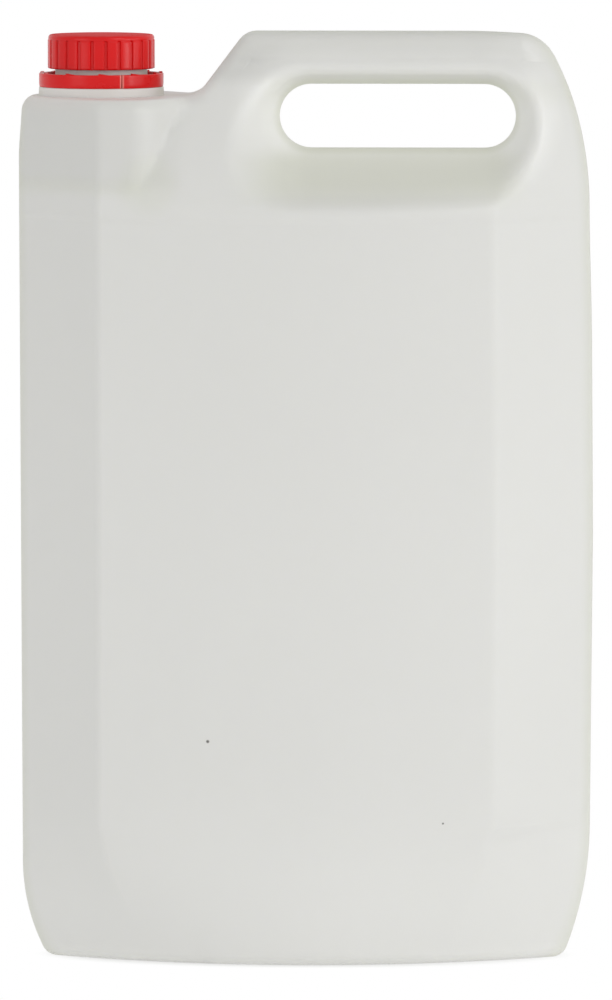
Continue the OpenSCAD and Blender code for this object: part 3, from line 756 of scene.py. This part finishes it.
class Shader:
    """The nodes of one new material, with the place on the object as x, y and z."""

    def __init__(self, name):
        self.material = bpy.data.materials.new(name)
        self.material.use_nodes = True
        self.tree = self.material.node_tree
        self.tree.nodes.clear()
        self.place = self.node("TexCoord", output="Object")
        self.x, self.y, self.z = (
            self.node("SeparateXYZ", {0: self.place}, output=axis) for axis in "XYZ")

    def node(self, kind, inputs=None, output=0, **settings):
        """One node: first its settings, then values or links for its sockets."""
        made = self.tree.nodes.new("ShaderNode" + kind)
        for key, value in settings.items():
            setattr(made, key, value)
        for key, value in (inputs or {}).items():
            if isinstance(value, Value):
                self.tree.links.new(value.socket, made.inputs[key])
            else:
                made.inputs[key].default_value = value
        return Value(self, made.outputs[output]) if len(made.outputs) else None

    def noise(self, size, detail=2.0, stretch=(1, 1, 1)):
        """Cloudy pattern around 0.5, with spots of about the given size."""
        place = self.node("VectorMath", {0: self.place, 1: stretch}, operation="MULTIPLY")
        return self.node("TexNoise", {"Vector": place, "Scale": 0.5 / size, "Detail": detail})

    def blend(self, share, a, b):
        """Colour a where share is 0, and b where it is 1."""
        return self.node("Mix", {0: share, 6: a, 7: b}, output=2, data_type="RGBA")

    def shade(self, colour, factor):
        """Colour made lighter or darker by a factor near 1."""
        grey = self.node("CombineColor", {0: factor, 1: factor, 2: factor})
        return self.node("Mix", {0: 1.0, 6: colour, 7: grey}, output=2,
                         data_type="RGBA", blend_type="MULTIPLY")

    def near(self, x, z, reach):
        """1 at a place seen from the front or back, falling to 0 at the given distance."""
        far = (self.x - x) * (self.x - x) + (self.z - z) * (self.z - z)
        return far.step(reach ** 2, (0.15 * reach) ** 2)

    def bump(self, height, depth):
        return self.node("Bump", {"Height": height, "Distance": depth, "Strength": 1.0})

    def surface(self, inputs):
        """Puts a Principled surface on the material and returns the material."""
        shown = self.node("BsdfPrincipled", inputs)
        self.node("OutputMaterial", {"Surface": shown})
        return self.material


def rgb(red, green, blue):
    """Screen colour, 0 to 255, as a linear colour."""
    c = np.array([red, green, blue]) / 255
    c = np.where(c <= 0.04045, c / 12.92, ((c + 0.055) / 1.055) ** 2.4)
    return (*c.tolist(), 1.0)


MILKY = rgb(218, 218, 213)
# Greener colour of thicker plastic, also used for painted shade
THICK_WALL_AND_SHADE = rgb(196, 199, 176)
# Painted reflection of the red cap
CAP_REFLECTION_PINK = rgb(226, 203, 200)
SPECK = rgb(60, 56, 50)
RED = rgb(210, 8, 10)
RED_DARK = rgb(184, 4, 8)
# Painted light beside the ring's tear
RED_PALE = rgb(236, 150, 140)
FOAM = rgb(236, 235, 228)


def natural_plastic():
    """Milky polyethylene, greener where thicker, with painted light, shade and a cap's reflection.

    Painted light makes the places round the handle hole and near the base paler, standing for
    light through the wall. Painted shade darkens the upper body, the neck's block and the bar's
    face, and, in the greener colour, the block's lower edge and corner and the bar's underside. The
    block's corner is also thicker. A painted reflection of the red cap gives a pinkish tint by the
    cap. Two dark specks sit on the front.
    """
    s = Shader("natural polyethylene")
    cloud = s.noise(45 * MM, 2.0, (1, 1, 0.6))
    # Painted shade: the neck's block is made darker
    block = s.z.step(286 * MM, 293 * MM) * s.z.step(SHOULDER_Z + MM, SHOULDER_Z - 2 * MM)
    block = block * s.x.step(-40 * MM, -56 * MM)
    # Painted light: the lower body is made paler, standing for light through the wall near the base
    base = s.z.step(80 * MM, 12 * MM)
    # Painted shade: the upper body is made a little darker
    upper = s.z.step(120 * MM, 300 * MM)
    # Painted shade: the face of the handle bar is made darker
    bar_face_shade = s.z.step(BODY_H - 21 * MM, BODY_H - 14 * MM) * s.x.step(92 * MM, 64 * MM)
    # Painted light: the wall round the handle hole is made paler, standing for light through it
    along = s.node("Math", {0: s.x - SLOT_X}, operation="ABSOLUTE") - SLOT_ARM
    along = s.node("Math", {0: along, 1: 0.0}, operation="MAXIMUM")
    rise = s.z - SLOT_Z
    off = along * along + rise * rise
    hole_painted_light = off.step((SLOT_HALF_H + 20 * MM) ** 2, SLOT_HALF_H ** 2) * 0.16
    hole_painted_light = hole_painted_light + off.step((SLOT_HALF_H + 8 * MM) ** 2, (SLOT_HALF_H + 2 * MM) ** 2) * 0.09
    # Milky colour with random cloudy tone, painted shade on the block, the upper body and the bar's
    # face, and painted light near the base and round the hole
    colour = s.shade(MILKY, 0.985 + 0.03 * cloud - 0.07 * block + 0.045 * base
                     - 0.035 * upper - 0.12 * bar_face_shade + hole_painted_light)
    shelf = s.z.step(STEP_Z + 2 * MM, STEP_Z + 14 * MM) * s.x.step(-30 * MM, -6 * MM)
    shelf = shelf * s.z.step(SLOT_Z - 9 * MM, SLOT_Z - 17 * MM) * s.x.step(86 * MM, 70 * MM)
    # Thicker wall and painted shade at the lower corner of the neck's block
    corner = s.near(-57 * MM, 291 * MM, 14 * MM)
    seam = (s.y * s.y).step((12 * MM) ** 2, (3 * MM) ** 2)
    # Painted shade along the lower edge of the neck's block, in the greener colour
    foot = s.z.step(284 * MM, 289.5 * MM) * s.z.step(295 * MM, 289.5 * MM)
    foot = foot * s.x.step(-54 * MM, -64 * MM)
    # Painted shade under the handle bar, in the greener colour
    bar_under_shade = s.z.step(BODY_H - 15 * MM, BODY_H - 20 * MM) * s.x.step(-20 * MM, -8 * MM)
    bar_under_shade = bar_under_shade * s.z.step(SLOT_Z, SLOT_Z + 10 * MM)
    # Greener colour of thicker plastic below the hole and along the mould line, and painted shade in
    # the same colour along the block's edge, at its corner and under the bar
    thick_wall_and_shade = shelf * 0.4 + corner * 0.2 + bar_under_shade * 0.12 + seam * 0.35 + foot * 0.16
    colour = s.blend(thick_wall_and_shade, colour, THICK_WALL_AND_SHADE)
    # Painted reflection of the red cap: a pinkish tint on the collar and the shoulder round it
    away = (s.x - NECK_X) * (s.x - NECK_X) + s.y * s.y
    cap_reflection = away.step((44 * MM) ** 2, (20 * MM) ** 2) * s.z.step(SHOULDER_Z - 8 * MM, SHOULDER_Z)
    colour = s.blend(cap_reflection * 0.15, colour, CAP_REFLECTION_PINK)
    specks = s.near(-35 * MM, 84.6 * MM, 0.8 * MM) + s.near(52.2 * MM, 54 * MM, 0.5 * MM)
    dark = specks * s.y.step(0, -10 * MM)
    colour = s.blend(dark * 0.85, colour, SPECK)
    grain = s.noise(0.5 * MM, 3.0)
    waves = s.noise(26 * MM, 1.0, (1, 1, 0.45))
    return s.surface({
        "Base Color": colour,
        "Roughness": 0.36 + 0.1 * s.noise(9 * MM, 3.0),
        "IOR": 1.5,
        "Subsurface Weight": 0.3,
        "Subsurface Radius": (1.0, 1.0, 0.85),
        "Subsurface Scale": 4 * MM,
        "Normal": s.bump(waves + 0.035 * grain, 0.35 * MM)})


def cap_plastic(name, gloss, tear_light_share):
    """Red moulded plastic with rubbing marks and a dull top.

    gloss is its roughness, and the third argument the share of painted light beside the ring's
    tear: pale colour where the slit would show shade.
    """
    s = Shader(name)
    rub = s.noise(6 * MM, 4.0)
    colour = s.blend(s.noise(14 * MM).step(0.42, 0.75) * 0.25, RED, RED_DARK)
    off_x = s.x - NECK_X - COLLAR_R * float(np.cos(TEAR_ANGLE))
    off_y = s.y - COLLAR_R * float(np.sin(TEAR_ANGLE))
    cap_top = float(cap_high[2])
    matt = s.z.step(cap_top - 0.6 * MM, cap_top - 0.1 * MM)
    # Painted light: the ring turns pale beside its tear, where the slit would show shade
    tear = (off_x * off_x + off_y * off_y).step((1.0 * MM) ** 2, (0.4 * MM) ** 2)
    colour = s.blend(tear * tear_light_share, colour, RED_PALE)
    return s.surface({
        "Base Color": colour,
        "Roughness": gloss + 0.14 * (rub - 0.5) + 0.45 * matt,
        "IOR": 1.5,
        "Specular IOR Level": 0.3,
        "Normal": s.bump(s.noise(0.6 * MM, 2.0) + 0.4 * rub, 0.02 * MM)})


def foam_plastic():
    """Dull white closed-cell foam."""
    s = Shader("liner foam")
    cells = s.node("TexVoronoi", {"Vector": s.place, "Scale": 2400.0}, output="Distance")
    return s.surface({
        "Base Color": s.shade(FOAM, 0.94 + 0.1 * cells),
        "Roughness": 0.8 + 0.1 * cells,
        "Normal": s.bump(cells, 0.05 * MM)})


def floor_material():
    """White floor with a shadow right at the base, and plain white to the camera further away."""
    s = Shader("white floor")
    seen = s.node("LightPath", output="Is Camera Ray")
    away = s.x * s.x * (1 / 0.1 ** 2) + s.y * s.y * (1 / 0.046 ** 2)
    plain = s.node("BsdfDiffuse", {"Color": (0.93, 0.93, 0.93, 1)})
    white = s.node("Emission", {"Color": (1, 1, 1, 1), "Strength": 1.0})
    share = 0.5 + seen * away.step(0.7, 1.05) * 0.5
    shown = s.node("MixShader", {0: share, 1: plain, 2: white})
    s.node("OutputMaterial", {"Surface": shown})
    return s.material


def add_floor():
    """Wide flat floor under the object."""
    half = 20.0
    mesh = bpy.data.meshes.new("floor")
    corners = [(-half, -half, 0), (half, -half, 0), (half, half, 0), (-half, half, 0)]
    mesh.from_pydata(corners, [], [(0, 1, 2, 3)])
    mesh.materials.append(floor_material())
    floor = bpy.data.objects.new("floor", mesh)
    bpy.context.scene.collection.objects.link(floor)


def add_world(light):
    """Plain white to the camera, and an even soft light of the given strength to the object."""
    world = bpy.data.worlds.new("white studio")
    world.use_nodes = True
    tree = world.node_tree
    tree.nodes.clear()
    path = tree.nodes.new("ShaderNodeLightPath")
    seen, lit = (tree.nodes.new("ShaderNodeBackground") for _ in range(2))
    lit.inputs["Strength"].default_value = light
    for background in (seen, lit):
        background.inputs["Color"].default_value = (1, 1, 1, 1)
    both = tree.nodes.new("ShaderNodeMixShader")
    out = tree.nodes.new("ShaderNodeOutputWorld")
    tree.links.new(path.outputs["Is Camera Ray"], both.inputs[0])
    tree.links.new(lit.outputs[0], both.inputs[1])
    tree.links.new(seen.outputs[0], both.inputs[2])
    tree.links.new(both.outputs[0], out.inputs["Surface"])
    bpy.context.scene.world = world


def aim(thing, place, target):
    """Puts a lamp or camera at a place, turned to its target."""
    thing.location = place
    thing.rotation_euler = (Vector(target) - Vector(place)).to_track_quat("-Z", "Y").to_euler()
    bpy.context.scene.collection.objects.link(thing)


def add_lamp(name, place, size, power):
    """Soft square lamp turned to the middle of the object."""
    lamp = bpy.data.lights.new(name, "AREA")
    lamp.shape = "SQUARE"
    lamp.size = size
    lamp.energy = power
    aim(bpy.data.objects.new(name, lamp), place, (0, 0, BODY_H / 2))


def add_camera():
    """Long lens a little to the right of the front and just over the object's height."""
    camera = bpy.data.cameras.new("camera")
    camera.sensor_width = 36.0
    camera.lens = 443.0
    holder = bpy.data.objects.new("camera", camera)
    aim(holder, (0.14, -4.585, 0.53), (0.0, 0, 0.17075))
    bpy.context.scene.camera = holder


body_material = natural_plastic()
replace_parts(shell_piece(body_material), "canister_body")
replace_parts(neck_piece(body_material), "canister_body")
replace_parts(cap_piece(cap_plastic("red cap plastic", 0.22, 0.0)), "screw_cap")
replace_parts(ring_piece(cap_plastic("red ring plastic", 0.26, 0.65)), "tamper_ring")
finishes = {"canister_body": body_material, "screw_cap": bpy.data.materials["red cap plastic"],
            "tamper_ring": bpy.data.materials["red ring plastic"], "sealing_liner": foam_plastic()}
for name, material in finishes.items():
    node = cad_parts[name]
    node.data.materials.clear()
    node.data.materials.append(material)

add_floor()
add_world(0.745)
add_lamp("key lamp", (1.9, -2.2, 1.5), 1.4, 18)
add_lamp("fill lamp", (-2.2, -2.4, 0.9), 1.6, 10.8)
add_lamp("side lamp", (2.8, -0.5, 0.7), 1.4, 6.8)
add_lamp("small lamp", (2.1, -1.25, 0.42), 0.35, 3.8)
add_camera()
bpy.context.scene.view_settings.view_transform = "Standard"
